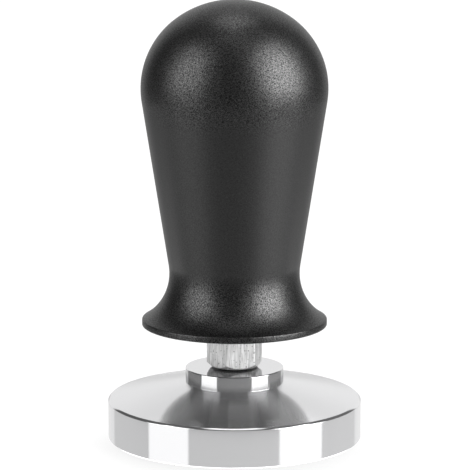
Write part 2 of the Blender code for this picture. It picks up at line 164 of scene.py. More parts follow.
def pick(piece):
    """Selects this piece and nothing else."""
    bpy.ops.object.select_all(action="DESELECT")
    piece.select_set(True)
    bpy.context.view_layer.objects.active = piece


def apply(piece, modifier):
    pick(piece)
    bpy.ops.object.modifier_apply(modifier=modifier.name)


def soften(piece, width=FINE_EDGE, segments=2, angle=25):
    """Rounds every edge that is sharper than angle, in degrees."""
    bevel = piece.modifiers.new("soft edges", "BEVEL")
    bevel.width = width
    bevel.segments = segments
    bevel.limit_method = "ANGLE"
    bevel.angle_limit = radians(angle)
    apply(piece, bevel)


def shade(piece, angle=35):
    """Shades round faces smooth, and lets the largest faces set the normals."""
    pick(piece)
    bpy.ops.object.shade_smooth_by_angle(angle=radians(angle))
    weighted = piece.modifiers.new("weighted normals", "WEIGHTED_NORMAL")
    weighted.keep_sharp = True
    apply(piece, weighted)
    print(f"{piece.name}: {len(piece.data.polygons)} faces")


def finish(piece, body, node, material):
    """Gives a piece its finish, and puts it in the frame in place of its CAD node."""
    piece.data.materials.clear()
    piece.data.materials.append(material)
    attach(piece, body)
    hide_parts(node)

# %% [markdown]
# ## Finishes
#
# Each finish is a Principled shader. What is the same all over is set on the shader itself, and
# only what varies over the surface comes from texture nodes, which read Object coordinates in
# metres: a scale of 4000 makes grains of about a quarter of a millimetre.

# %% Helpers for materials
def new_material(name, color, roughness, metallic):
    material = bpy.data.materials.new(name)
    material.use_nodes = True
    shader = material.node_tree.nodes["Principled BSDF"]
    shader.inputs["Base Color"].default_value = (*color, 1)
    shader.inputs["Roughness"].default_value = roughness
    shader.inputs["Metallic"].default_value = metallic
    material.diffuse_color = (*color, 1)
    print("finish:", name)
    return material, shader


def add_node(material, kind, **inputs):
    node = material.node_tree.nodes.new(kind)
    for name, value in inputs.items():
        node.inputs[name.replace("_", " ")].default_value = value
    return node


def link(owner, source, target):
    owner.node_tree.links.new(source, target)


def object_noise(material, scale, detail=2.0, stretch=(1, 1, 1)):
    """Noise in Object coordinates, squeezed or stretched along an axis by stretch."""
    place = add_node(material, "ShaderNodeTexCoord")
    mapping = add_node(material, "ShaderNodeMapping", Scale=stretch)
    noise = add_node(material, "ShaderNodeTexNoise", Scale=scale, Detail=detail)
    link(material, place.outputs["Object"], mapping.inputs["Vector"])
    link(material, mapping.outputs["Vector"], noise.inputs["Vector"])
    return noise


def remap(owner, source, low, high, start=0.35, end=0.65, kind="LINEAR"):
    """What runs from start to end now runs from low to high, and stays there past the ends."""
    span = owner.node_tree.nodes.new("ShaderNodeMapRange")
    span.interpolation_type = kind
    for name, value in (("From Min", start), ("From Max", end), ("To Min", low), ("To Max", high)):
        span.inputs[name].default_value = value
    link(owner, source, span.inputs["Value"])
    return span.outputs["Result"]


def vary(material, source, target, *ranges):
    """Lets a texture move a socket."""
    link(material, remap(material, source, *ranges), target)


def combine(owner, operation, *values):
    """A Math node for a material or a world: each value is a number or a node's output."""
    node = owner.node_tree.nodes.new("ShaderNodeMath")
    node.operation = operation
    for socket, value in zip(node.inputs, values):
        if isinstance(value, bpy.types.NodeSocket):
            link(owner, value, socket)
        else:
            socket.default_value = value
    return node.outputs[0]


def height_on(material):
    """Height above the underside, from Object coordinates."""
    place = add_node(material, "ShaderNodeTexCoord")
    split = add_node(material, "ShaderNodeSeparateXYZ")
    link(material, place.outputs["Object"], split.inputs["Vector"])
    return split.outputs["Z"]


def add_bump(material, shader, source, strength, distance):
    bump = add_node(material, "ShaderNodeBump", Strength=strength, Distance=distance)
    link(material, source, bump.inputs["Height"])
    link(material, bump.outputs["Normal"], shader.inputs["Normal"])


def add_rings(material, shader, amount):
    """Stretches reflections across fine rings round the Z axis."""
    shader.inputs["Anisotropic"].default_value = amount
    shader.inputs["Anisotropic Rotation"].default_value = 0.25
    rings = add_node(material, "ShaderNodeTangent")
    rings.direction_type = "RADIAL"
    rings.axis = "Z"
    link(material, rings.outputs["Tangent"], shader.inputs["Tangent"])

# %% [markdown]
# The base is turned and then buffed. The wheel leaves fine rings round the axis, too fine to see one
# by one. They stretch every reflection across the rings and leave it sharp along them, which gives
# turned steel its fans of light and dark. An anisotropic gloss does the same: the Tangent node says
# which way the rings run, and a quarter turn stretches the reflection across them. The wheel reaches
# the rim and the collar better than the cone between them, so the cone is a little rougher.

# %% Polished steel
COLLAR_TOP = top_of("tamper_base")
COLLAR_HEIGHT = 3.0 * MM
RIM_HEIGHT = 8.0 * MM
CONE_ROUGHER = 0.125


def polished_steel():
    material, shader = new_material("polished_stainless", (0.80, 0.80, 0.81), 0.18, 0.94)
    add_rings(material, shader, 1.0)
    cloud = object_noise(material, scale=90, detail=3)
    gloss = remap(material, cloud.outputs["Fac"], 0.07, 0.09)
    cone_top = COLLAR_TOP - COLLAR_HEIGHT
    middle = (RIM_HEIGHT + cone_top) / 2
    on_cone = combine(material, "COMPARE", height_on(material), middle, cone_top - middle)
    rougher = combine(material, "MULTIPLY_ADD", on_cone, CONE_ROUGHER, gloss)
    link(material, rougher, shader.inputs["Roughness"])
    return material


POLISHED = polished_steel()

# %% [markdown]
# The stem is drawn hexagonal bar. Drawing leaves lines along its length, which are noise stretched
# along Z, and a few small dark pits, which are the highest parts of a second noise.

# %% Drawn steel
def drawn_steel():
    material, shader = new_material("drawn_steel", (0.66, 0.66, 0.65), 0.42, 0.75)
    lines = object_noise(material, scale=1, detail=4, stretch=(2600, 2600, 260))
    specks = object_noise(material, scale=2300, detail=1)
    light = remap(material, lines.outputs["Fac"], 0.54, 0.90, 0.34, 0.66)
    pits = remap(material, specks.outputs["Fac"], 1.0, 0.45, 0.66, 0.72)
    color = combine(material, "MULTIPLY", light, pits)
    link(material, color, shader.inputs["Base Color"])
    vary(material, lines.outputs["Fac"], shader.inputs["Roughness"], 0.36, 0.52)
    add_bump(material, shader, lines.outputs["Fac"], strength=0.6, distance=0.03 * MM)
    return material


DRAWN = drawn_steel()

# %% [markdown]
# The handle is blasted aluminium, anodised black. It stays a metal under its dark skin, so almost all
# that is seen of it is reflection, and the grains that blasting leaves differ in how much they send
# back. One noise with grains of about a fifth of a millimetre moves the colour, the gloss and the
# normal together, which makes the fine sparkle inside the highlights. The ball and the flange show
# it, and the taper between them is much smoother.

# %% Black anodised finish
def black_finish():
    material, shader = new_material("black_anodised", (0.05, 0.05, 0.052), 0.42, 1.0)
    grain = object_noise(material, scale=5200, detail=2)
    height = height_on(material)
    foot = foot_of("handle_body")
    tall = top_of("handle_body") - foot
    on_ball = remap(material, height, 0, 1, foot + 0.60 * tall, foot + 0.72 * tall, "SMOOTHSTEP")
    on_flange = remap(material, height, 1, 0, foot + 0.13 * tall, foot + 0.20 * tall, "SMOOTHSTEP")
    blasted = combine(material, "ADD", on_ball, on_flange)
    amount = combine(material, "MULTIPLY_ADD", blasted, 0.8, 0.2)
    centred = combine(material, "SUBTRACT", grain.outputs["Fac"], 0.5)
    spread = combine(material, "MULTIPLY", centred, amount)
    color = combine(material, "MULTIPLY_ADD", spread, 0.28, 0.05)
    link(material, combine(material, "MAXIMUM", color, 0.012), shader.inputs["Base Color"])
    vary(material, spread, shader.inputs["Roughness"], 0.45, 0.37, -0.15, 0.15)
    add_bump(material, shader, spread, strength=0.5, distance=0.03 * MM)
    return material


BLACK = black_finish()

# %% [markdown]
# ## The base
#
# The base is one solid of steel: a flat foot, a straight rim, a shallow cone and a collar, with a
# hole on top for the stud. Nobody sees into the hole, so it has no thread of its own. The outline
# starts at its bottom, on the axis.

# %% Base
BASE_RADIUS = radius_of("tamper_base")
COLLAR_RADIUS = 9.85 * MM
COLLAR_EDGE = 0.15 * MM
RIM_EDGE = 0.4 * MM
FOOT_EDGE = 0.25 * MM
STUD_HOLE = 3.3 * MM
STUD_HOLE_DEPTH = 9.1 * MM
DRILL_SLOPE = tan(radians(31))


def make_base():
    cone_top = COLLAR_TOP - COLLAR_HEIGHT
    floor = COLLAR_TOP - STUD_HOLE_DEPTH
    corners = [
        (STUD_HOLE, floor),
        (STUD_HOLE, COLLAR_TOP),
        (COLLAR_RADIUS - COLLAR_EDGE, COLLAR_TOP),
        (COLLAR_RADIUS, COLLAR_TOP - COLLAR_EDGE),
        (COLLAR_RADIUS, cone_top),
        (BASE_RADIUS - RIM_EDGE, RIM_HEIGHT),
        (BASE_RADIUS, RIM_HEIGHT - RIM_EDGE),
        (BASE_RADIUS, FOOT_EDGE),
        (BASE_RADIUS - FOOT_EDGE, 0),
        (0, 0),
    ]
    base = turn("polished_base", (0, floor - STUD_HOLE * DRILL_SLOPE), straight(*corners))
    soften(base)
    shade(base)
    return base


base = make_base()
finish(base, "base", "tamper_base", POLISHED)

# %% [markdown]
# ## The stem
#
# The stem starts as a six-sided prism. A turned cutter with the shape that the lathe leaves is then
# intersected with it, which gives the cone at its foot its curved edges, and the round spigot at
# its head.

# %% Stem
STEM_ACROSS_FLATS = 10.0 * MM
STEM_TURN = radians(-15)
STEM_FOOT = foot_of("hex_stem")
STEM_HEAD = top_of("hex_stem")
STEM_FOOT_RADIUS = 4.7 * MM
STEM_CHAMFER = radians(42)
SPIGOT_RADIUS = 3.6 * MM
SPIGOT_LENGTH = 6.5 * MM
STUD_HOLE_LENGTH = 8.6 * MM
SCREW_HOLE = 2.3 * MM
SCREW_HOLE_LENGTH = 4.5 * MM
STEM_EDGE = 0.12 * MM


def hexagon_bar(name, across_flats, bottom, top):
    """A hexagonal prism with its place in its mesh."""
    bpy.ops.object.select_all(action="DESELECT")
    bpy.ops.mesh.primitive_cylinder_add(
        vertices=6,
        radius=across_flats / 2 / cos(pi / 6),
        depth=top - bottom,
        location=(0, 0, (bottom + top) / 2),
        rotation=(0, 0, STEM_TURN),
    )
    bpy.ops.object.transform_apply(location=True, rotation=True, scale=True)
    bar = bpy.context.object
    bar.name = bar.data.name = name
    return bar


def cut(piece, cutter, operation="DIFFERENCE", turned=0.0):
    """Applies a Boolean with the cutter, and deletes it. A small turn keeps their edges apart."""
    cutter.rotation_euler.z = turned
    bpy.context.view_layer.update()
    boolean = piece.modifiers.new(operation.lower(), "BOOLEAN")
    boolean.operation = operation
    boolean.object = cutter
    apply(piece, boolean)
    bpy.data.objects.remove(cutter, do_unlink=True)


def plain_rod(name, radius, bottom, top, steps=SMALL_STEPS):
    """A turned rod with sharp edges, which also serves as a drill."""
    return turn(name, (0, bottom), straight((radius, bottom), (radius, top), (0, top)), steps)


def make_stem():
    stem = hexagon_bar("hexagon_stem", STEM_ACROSS_FLATS, STEM_FOOT, STEM_HEAD)
    bpy.ops.object.mode_set(mode="EDIT")
    bpy.ops.mesh.select_all(action="DESELECT")
    bpy.ops.object.mode_set(mode="OBJECT")
    for edge in stem.data.edges:
        ends = [stem.data.vertices[index].co for index in edge.vertices]
        edge.select = abs(ends[0].z - ends[1].z) > MM
    bpy.ops.object.mode_set(mode="EDIT")
    bpy.ops.mesh.select_mode(type="EDGE")
    bpy.ops.mesh.bevel(offset=STEM_EDGE, segments=3, affect="EDGES")
    bpy.ops.object.mode_set(mode="OBJECT")

    reach = STEM_ACROSS_FLATS
    shoulder = STEM_HEAD - SPIGOT_LENGTH
    past = STEM_HEAD + MM
    below = STEM_FOOT - MM
    corners = [
        (STEM_FOOT_RADIUS, below),
        (STEM_FOOT_RADIUS, STEM_FOOT),
        (reach, STEM_FOOT + (reach - STEM_FOOT_RADIUS) * tan(STEM_CHAMFER)),
        (reach, shoulder),
        (SPIGOT_RADIUS, shoulder),
        (SPIGOT_RADIUS, past),
        (0, past),
    ]
    cut(stem, turn("stem_turning", (0, below), straight(*corners)), "INTERSECT")
    cut(stem, plain_rod("stud_drill", STUD_HOLE, below, STEM_FOOT + STUD_HOLE_LENGTH))
    cut(stem, plain_rod("screw_drill", SCREW_HOLE, STEM_HEAD - SCREW_HOLE_LENGTH, past))
    shade(stem, 25)
    return stem


stem = make_stem()
finish(stem, "base", "hex_stem", DRAWN)

# %% [markdown]
# ## The handle
#
# The handle's outline runs in tangent arcs: a flat-topped crown, a rounder shoulder, a straight
# taper, and a hollow waist that flares out to the edge of the flange, whose rim is straight. Each
# arc is a spin of the last point. The angles follow from the radii, because neighbouring arcs have
# to meet without a kink.

# %% Handle outline
HANDLE_FOOT = foot_of("handle_body")
HANDLE_TOP = top_of("handle_body")
BALL_RADIUS = 18.59 * MM
SHOULDER_INSET = 1.5 * MM
CROWN_ANGLE = radians(37.2)
BUSH_BORE = radius_of("guide_bush") + GAP
WAIST_WALL = 4.1 * MM
WAIST_RADIUS = BUSH_BORE + WAIST_WALL
WAIST_CURVE = 10.6 * MM
FLANGE_RADIUS = radius_of("handle_body")
FLANGE_LAND = 1.2 * MM
FLANGE_EDGE = 0.1 * MM

shoulder_radius = BALL_RADIUS - SHOULDER_INSET
crown_radius = shoulder_radius + SHOULDER_INSET / sin(CROWN_ANGLE)
crown_centre = (0, HANDLE_TOP - crown_radius)
shoulder_centre = (
    SHOULDER_INSET,
    crown_centre[1] + (crown_radius - shoulder_radius) * cos(CROWN_ANGLE),
)
rim_top = HANDLE_FOOT + FLANGE_LAND
flare = acos(1 - (FLANGE_RADIUS - WAIST_RADIUS) / WAIST_CURVE)
waist_centre = (WAIST_RADIUS + WAIST_CURVE, rim_top + WAIST_CURVE * sin(flare))
across = waist_centre[0] - shoulder_centre[0]
down = waist_centre[1] - shoulder_centre[1]
taper = -atan2(down, across) - acos((WAIST_CURVE + shoulder_radius) / hypot(across, down))
taper_end = (waist_centre[0] - WAIST_CURVE * cos(taper), waist_centre[1] + WAIST_CURVE * sin(taper))
print(f"taper {degrees(taper):.1f} degrees a side, flare {degrees(flare):.1f} degrees")

# %% [markdown]
# Inside, the handle is bored in three steps: a recess for the cover, a bore for the guide bush, and
# the chamber of the spring. The tracing goes straight on from the foot into the bores, so that the
# wall has its real thickness everywhere.

# %% Handle
RECESS_RADIUS = radius_of("bottom_cover") + GAP
RECESS_TOP = top_of("bottom_cover") + GAP
BUSH_STOP = top_of("guide_bush") + GAP
BUSH_LEDGE = 0.4 * MM
CHAMBER_RADIUS = BUSH_BORE - BUSH_LEDGE
CHAMBER_TOP = top_of("upper_spring_seat") + GAP
TAPER_PARTS = 6


def make_handle():
    crown_end = pi / 2 - CROWN_ANGLE
    strokes = [
        ("arc", crown_centre, -CROWN_ANGLE, 26),
        ("arc", shoulder_centre, -crown_end - taper, 44),
    ]
    shoulder_end = (
        shoulder_centre[0] + shoulder_radius * cos(taper),
        shoulder_centre[1] - shoulder_radius * sin(taper),
    )
    for part in range(1, TAPER_PARTS + 1):
        strokes += straight(Vector(shoulder_end).lerp(Vector(taper_end), part / TAPER_PARTS))
    strokes.append(("arc", waist_centre, taper + flare - FLANGE_EDGE / WAIST_CURVE, 48))
    strokes += straight(
        (FLANGE_RADIUS, rim_top - FLANGE_EDGE),
        (FLANGE_RADIUS, HANDLE_FOOT + FLANGE_EDGE),
        (FLANGE_RADIUS - FLANGE_EDGE, HANDLE_FOOT),
        (RECESS_RADIUS, HANDLE_FOOT),
        (RECESS_RADIUS, RECESS_TOP),
        (BUSH_BORE, RECESS_TOP),
        (BUSH_BORE, BUSH_STOP),
        (CHAMBER_RADIUS, BUSH_STOP),
        (CHAMBER_RADIUS, CHAMBER_TOP),
        (0, CHAMBER_TOP),
    )
    handle = turn("black_handle", (0, HANDLE_TOP), strokes)
    soften(handle, width=0.04 * MM)
    shade(handle)
    return handle


handle = make_handle()
finish(handle, "handle", "handle_body", BLACK)

# %% [markdown]
# ## The cover and the guide bush
#
# A thin plate closes the handle from below, and a plastic bush above it slides on the stem. Both
# have a hexagonal hole that is a little wider than the stem, which is what keeps the handle from
# turning. A hexagonal bar that reaches past both faces cuts the hole.

# %% Hexagonal holes
HOLE_ACROSS_FLATS = STEM_ACROSS_FLATS + 2 * GAP
PAST_FACE = 2 * MM


def cut_hexagon(piece, across_flats, bottom, top):
    cut(piece, hexagon_bar("hexagon_cutter", across_flats, bottom, top))


print(f"hexagonal holes: {HOLE_ACROSS_FLATS / MM:.1f} mm across flats")

# %% [markdown]
# Three countersunk screws hold the cover. The conical hole for each is a turned cutter, moved from
# the axis to the screw's place.

# %% Cover
def centre_of(node):
    low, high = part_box(node)
    return ((low.x + high.x) / 2, (low.y + high.y) / 2)


def move_to(piece, centre):
    """Moves a piece that was made on the axis, and leaves its object at the origin."""
    pick(piece)
    bpy.ops.transform.translate(value=(*centre, 0))
    bpy.ops.object.transform_apply(location=True, rotation=True, scale=True)


COVER_SCREWS = ["cover_screw_1", "cover_screw_2", "cover_screw_3"]
COVER_BOTTOM = foot_of("bottom_cover")
COVER_TOP = top_of("bottom_cover")
SCREW_RADIUS = 1.0 * MM
SCREW_HEAD_RADIUS = 1.8 * MM
SCREW_LAND = 0.2 * MM
SCREW_LAND_TOP = COVER_BOTTOM + SCREW_LAND
SCREW_CONE_TOP = SCREW_LAND_TOP + SCREW_HEAD_RADIUS - SCREW_RADIUS


def countersink(bottom, top):
    head = SCREW_HEAD_RADIUS + GAP
    shank = SCREW_RADIUS + GAP
    corners = [(head, bottom), (head, SCREW_LAND_TOP), (shank, SCREW_CONE_TOP), (shank, top), (0, top)]
    return turn("countersink", (0, bottom), straight(*corners), SMALL_STEPS)


def make_cover():
    below = COVER_BOTTOM - PAST_FACE
    above = COVER_TOP + PAST_FACE
    cover = plain_rod("cover_plate", radius_of("bottom_cover"), COVER_BOTTOM, COVER_TOP, FINE_STEPS)
    soften(cover, width=0.12 * MM)
    cut_hexagon(cover, HOLE_ACROSS_FLATS, below, above)
    for node in COVER_SCREWS:
        cutter = countersink(below, above)
        move_to(cutter, centre_of(node))
        cut(cover, cutter)
    shade(cover, 25)
    return cover


cover = make_cover()
finish(cover, "handle", "bottom_cover", BLACK)

# %% [markdown]
# Acetal is a slippery white plastic, a little translucent, with a soft sheen. Light that scatters
# under its skin is what tells it from white paint.

# %% Acetal and the bush
def acetal():
    material, shader = new_material("natural_acetal", (0.80, 0.79, 0.74), 0.38, 0.0)
    shader.inputs["Subsurface Weight"].default_value = 0.3
    shader.inputs["Subsurface Scale"].default_value = 0.4 * MM
    skin = object_noise(material, scale=700, detail=3)
    vary(material, skin.outputs["Fac"], shader.inputs["Roughness"], 0.32, 0.46)
    add_bump(material, shader, skin.outputs["Fac"], strength=0.2, distance=0.02 * MM)
    return material


ACETAL = acetal()
BUSH_RADIUS = radius_of("guide_bush")
BUSH_BOTTOM = foot_of("guide_bush")
BUSH_TOP = top_of("guide_bush")
GREASE_GROOVES = 3
GROOVE_DEPTH = 0.25 * MM


def make_bush():
    """The bush has shallow grooves outside, which hold grease."""
    corners = [(BUSH_RADIUS, BUSH_BOTTOM)]
    for index in range(1, GREASE_GROOVES + 1):
        middle = BUSH_BOTTOM + (BUSH_TOP - BUSH_BOTTOM) * index / (GREASE_GROOVES + 1)
        corners += [
            (BUSH_RADIUS, middle - 2 * GROOVE_DEPTH),
            (BUSH_RADIUS - GROOVE_DEPTH, middle - GROOVE_DEPTH),
            (BUSH_RADIUS - GROOVE_DEPTH, middle + GROOVE_DEPTH),
            (BUSH_RADIUS, middle + 2 * GROOVE_DEPTH),
        ]
    corners += [(BUSH_RADIUS, BUSH_TOP), (0, BUSH_TOP)]
    bush = turn("hexagonal_bush", (0, BUSH_BOTTOM), straight(*corners), SMALL_STEPS)
    soften(bush, width=0.08 * MM)
    cut_hexagon(bush, HOLE_ACROSS_FLATS, BUSH_BOTTOM - PAST_FACE, BUSH_TOP + PAST_FACE)
    shade(bush, 25)
    return bush


bush = make_bush()
finish(bush, "handle", "guide_bush", ACETAL)

# %% [markdown]
# ## Screws with real threads
#
# A thread is one ridge that winds up a rod. The Screw modifier lifts an outline by one pitch as it
# turns, so the outline of a single ridge becomes the whole thread. Its ends are ragged, so they are
# closed and then trimmed by intersecting the rod with a turned envelope, which also cuts the
# chamfers that a screw has at its tip. Edges that lie on each other leave slivers in a Boolean, so
# the envelope is turned by half of its step.

# %% Threads
THREAD_STEPS = 48
THREAD_DEPTH = 0.55  # this and the crest are shares of the pitch
HALF_CREST = 1 / 16


def threaded_rod(name, radius, pitch, bottom, top, chamfers):
    """A closed rod with a thread. Chamfers are the sizes at its bottom and at its top."""
    root = radius - THREAD_DEPTH * pitch
    low = bottom - 2 * pitch
    ridge = [
        (radius, low + (1 / 2 - HALF_CREST) * pitch),
        (radius, low + (1 / 2 + HALF_CREST) * pitch),
        (root, low + pitch),
    ]
    rod = trace(name, (root, low), straight(*ridge))
    bpy.ops.object.mode_set(mode="OBJECT")
    wind = rod.modifiers.new("thread", "SCREW")
    wind.axis = "Z"
    wind.angle = 2 * pi
    wind.screw_offset = pitch
    wind.iterations = int((top - bottom) / pitch) + 4
    wind.steps = wind.render_steps = THREAD_STEPS
    wind.use_merge_vertices = True
    wind.merge_threshold = pitch / 1000
    apply(rod, wind)
    bpy.ops.object.mode_set(mode="EDIT")
    bpy.ops.mesh.select_all(action="SELECT")
    bpy.ops.mesh.remove_doubles(threshold=pitch / 1000)
    bpy.ops.mesh.select_all(action="SELECT")
    bpy.ops.mesh.fill_holes(sides=0)
    bpy.ops.mesh.select_all(action="SELECT")
    bpy.ops.mesh.quads_convert_to_tris()
    bpy.ops.mesh.normals_make_consistent(inside=False)
    bpy.ops.object.mode_set(mode="OBJECT")
    below, above = chamfers
    room = 0.1 * MM
    corners = [
        (radius - below, bottom),
        (radius + room, bottom + below + room),
        (radius + room, top - above - room),
        (radius - above, top),
        (0, top),
    ]
    envelope = turn("envelope", (0, bottom), straight(*corners), SMALL_STEPS)
    cut(rod, envelope, "INTERSECT", turned=pi / SMALL_STEPS)
    print(f"thread: {2 * radius / MM:.0f} mm wide, pitch {pitch / MM:.1f} mm")
    return rod

# %% [markdown]
# The screws have a black oxide skin, which is thin and slightly mottled. Only their heads show
# their sockets, but each screw is threaded along its whole shank.

# %% Black oxide and the screws
def black_oxide():
    material, shader = new_material("black_oxide", (0.035, 0.035, 0.038), 0.38, 0.9)
    mottle = object_noise(material, scale=1500, detail=4)
    vary(material, mottle.outputs["Fac"], shader.inputs["Roughness"], 0.28, 0.50)
    add_bump(material, shader, mottle.outputs["Fac"], strength=0.15, distance=0.01 * MM)
    return material


OXIDE = black_oxide()
NO_CHAMFER = 0.02 * MM
SCREW_PITCH = 0.4 * MM
SCREW_TIP = 0.2 * MM
SCREW_SOCKET = 1.3 * MM
SCREW_SOCKET_DEPTH = 0.8 * MM


def screw_from(head, shank):
    """Joins a head and its threaded shank, with their edges kept apart."""
    cut(head, shank, "UNION", turned=pi / SMALL_STEPS / 2)
    return head


def make_cover_screw():
    """A countersunk screw on the axis, head down. Its cone ends inside the shank."""
    inside = 0.3 * MM
    foot = SCREW_CONE_TOP - 0.1 * MM
    corners = [
        (SCREW_HEAD_RADIUS, COVER_BOTTOM),
        (SCREW_HEAD_RADIUS, SCREW_LAND_TOP),
        (SCREW_RADIUS - inside, SCREW_CONE_TOP + inside),
        (0, SCREW_CONE_TOP + inside),
    ]
    head = turn("countersunk_screw", (0, COVER_BOTTOM), straight(*corners), SMALL_STEPS)
    soften(head)
    tip = top_of(COVER_SCREWS[0])
    shank = threaded_rod("shank", SCREW_RADIUS, SCREW_PITCH, foot, tip, (NO_CHAMFER, SCREW_TIP))
    screw = screw_from(head, shank)
    cut_hexagon(screw, SCREW_SOCKET, COVER_BOTTOM - PAST_FACE, COVER_BOTTOM + SCREW_SOCKET_DEPTH)
    shade(screw, 25)
    return screw


def copy_of(piece, name):
    """A copy with a mesh of its own."""
    twin = piece.copy()
    twin.data = piece.data.copy()
    twin.name = twin.data.name = name
    bpy.context.scene.collection.objects.link(twin)
    return twin


first_screw = make_cover_screw()
for node in COVER_SCREWS:
    screw = copy_of(first_screw, "countersunk_" + node[len("cover_"):])
    move_to(screw, centre_of(node))
    finish(screw, "handle", node, OXIDE)
bpy.data.objects.remove(first_screw, do_unlink=True)

# %% [markdown]
# The stop screw has a low domed head. It holds the piston on the stem, and at the end of a press the
# pin of the spring seat lands on it.

# %% Stop screw
STOP_LENGTH = 8.0 * MM
STOP_RADIUS = 2.0 * MM
STOP_PITCH = 0.7 * MM
STOP_TIP = 0.4 * MM
STOP_SOCKET = 2.5 * MM
STOP_SOCKET_DEPTH = 1.3 * MM
STOP_FOOT = foot_of("stop_screw")
STOP_HEAD_RADIUS = radius_of("stop_screw")
STOP_HEAD_TOP = top_of("stop_screw")
STOP_HEAD_BOTTOM = STOP_FOOT + STOP_LENGTH


def make_stop_screw():
    height = STOP_HEAD_TOP - STOP_HEAD_BOTTOM
    crown = STOP_HEAD_RADIUS / 2
    inside = 0.5 * MM
    corners = [
        (crown, STOP_HEAD_TOP),
        ((STOP_HEAD_RADIUS + crown) / 2, STOP_HEAD_TOP - height / 5),
        (STOP_HEAD_RADIUS, STOP_HEAD_BOTTOM + height / 3),
        (STOP_HEAD_RADIUS, STOP_HEAD_BOTTOM),
        (0, STOP_HEAD_BOTTOM),
    ]
    head = turn("button_head_screw", (0, STOP_HEAD_TOP), straight(*corners), SMALL_STEPS)
    soften(head, width=0.15 * MM, segments=3)
    end = STOP_HEAD_BOTTOM + inside
    shank = threaded_rod("shank", STOP_RADIUS, STOP_PITCH, STOP_FOOT, end, (STOP_TIP, NO_CHAMFER))
    screw = screw_from(head, shank)
    cut_hexagon(screw, STOP_SOCKET, STOP_HEAD_TOP - STOP_SOCKET_DEPTH, STOP_HEAD_TOP + PAST_FACE)
    shade(screw, 25)
    return screw


stop_screw = make_stop_screw()
finish(stop_screw, "base", "stop_screw", OXIDE)

# %% [markdown]
# The stud joins the base to the stem. It is a headless screw with a socket in its upper end.

# %% Stud
STUD_PITCH = 1.0 * MM
STUD_TIP = 0.5 * MM
STUD_SOCKET = 3.0 * MM
STUD_SOCKET_DEPTH = 3.0 * MM


def make_stud():
    bottom = foot_of("base_stud")
    top = top_of("base_stud")
    tips = (STUD_TIP, STUD_TIP)
    stud = threaded_rod("threaded_stud", radius_of("base_stud"), STUD_PITCH, bottom, top, tips)
    cut_hexagon(stud, STUD_SOCKET, top - STUD_SOCKET_DEPTH, top + PAST_FACE)
    shade(stud, 25)
    return stud


stud = make_stud()
finish(stud, "base", "base_stud", OXIDE)

# %% [markdown]
# ## The piston and its stops
#
# The piston is turned from brass bar and fits on the round head of the stem. The lathe leaves fine
# rings on it, so its gloss is anisotropic like the base's, only duller. A noise makes it duller in
# patches, where the brass is tarnished.

# %% Turned brass and the piston
def turned_brass():
    material, shader = new_material("turned_brass", (0.72, 0.50, 0.22), 0.28, 1.0)
    add_rings(material, shader, 0.8)
    tarnish = object_noise(material, scale=260, detail=4)
    vary(material, tarnish.outputs["Fac"], shader.inputs["Roughness"], 0.22, 0.36)
    return material


BRASS = turned_brass()
PISTON_RADIUS = radius_of("guide_piston")
PISTON_BOTTOM = foot_of("guide_piston")
BOSS_TOP = top_of("guide_piston")
BOSS_HEIGHT = 1.5 * MM
BOSS_RADIUS = radius_of("stop_washer")


def make_piston():
    inner = SPIGOT_RADIUS + GAP
    edge = 0.4 * MM
    groove = 0.3 * MM
    piston_top = BOSS_TOP - BOSS_HEIGHT
    middle = (PISTON_BOTTOM + piston_top) / 2
    corners = [
        (PISTON_RADIUS - edge, PISTON_BOTTOM),
        (PISTON_RADIUS, PISTON_BOTTOM + edge),
        (PISTON_RADIUS, middle - 2 * groove),
        (PISTON_RADIUS - groove, middle - groove),
        (PISTON_RADIUS - groove, middle + groove),
        (PISTON_RADIUS, middle + 2 * groove),
        (PISTON_RADIUS, piston_top - edge),
        (PISTON_RADIUS - edge, piston_top),
        (BOSS_RADIUS, piston_top),
        (BOSS_RADIUS, BOSS_TOP - edge),
        (BOSS_RADIUS - edge, BOSS_TOP),
        (inner, BOSS_TOP),
        (inner, PISTON_BOTTOM),
    ]
    start = (inner, PISTON_BOTTOM)
    piston = turn("brass_piston", start, straight(*corners), SMALL_STEPS, closed=True)
    soften(piston, width=0.05 * MM)
    shade(piston)
    return piston


piston = make_piston()
finish(piston, "base", "guide_piston", BRASS)

# %% [markdown]
# A zinc-plated washer lies on the piston under the screw, and a rubber ring under the piston takes
# the knock when the handle springs back. Both are rings, whose outline runs back to its own start.
# Zinc has fine grains of slightly different gloss, and rubber is dull with a slight bloom.

# %% Washer and buffer
def zinc():
    material, shader = new_material("zinc_plated", (0.62, 0.64, 0.68), 0.30, 1.0)
    grains = object_noise(material, scale=1800, detail=3)
    vary(material, grains.outputs["Fac"], shader.inputs["Roughness"], 0.22, 0.42)
    add_bump(material, shader, grains.outputs["Fac"], strength=0.12, distance=0.01 * MM)
    return material


def rubber():
    material, shader = new_material("buffer_rubber", (0.03, 0.03, 0.032), 0.75, 0.0)
    bloom = object_noise(material, scale=900, detail=4)
    vary(material, bloom.outputs["Fac"], shader.inputs["Roughness"], 0.62, 0.88)
    add_bump(material, shader, bloom.outputs["Fac"], strength=0.3, distance=0.03 * MM)
    return material


ZINC = zinc()
RUBBER = rubber()


def ring(name, inner, outer, bottom, top, edge):
    """A turned ring with its four edges rounded."""
    corners = [(outer, bottom), (outer, top), (inner, top), (inner, bottom)]
    piece = turn(name, (inner, bottom), straight(*corners), SMALL_STEPS, closed=True)
    soften(piece, edge)
    return piece


washer = ring(
    "plated_washer",
    SCREW_HOLE,
    BOSS_RADIUS,
    foot_of("stop_washer"),
    top_of("stop_washer"),
    edge=0.12 * MM,
)
shade(washer)
finish(washer, "base", "stop_washer", ZINC)

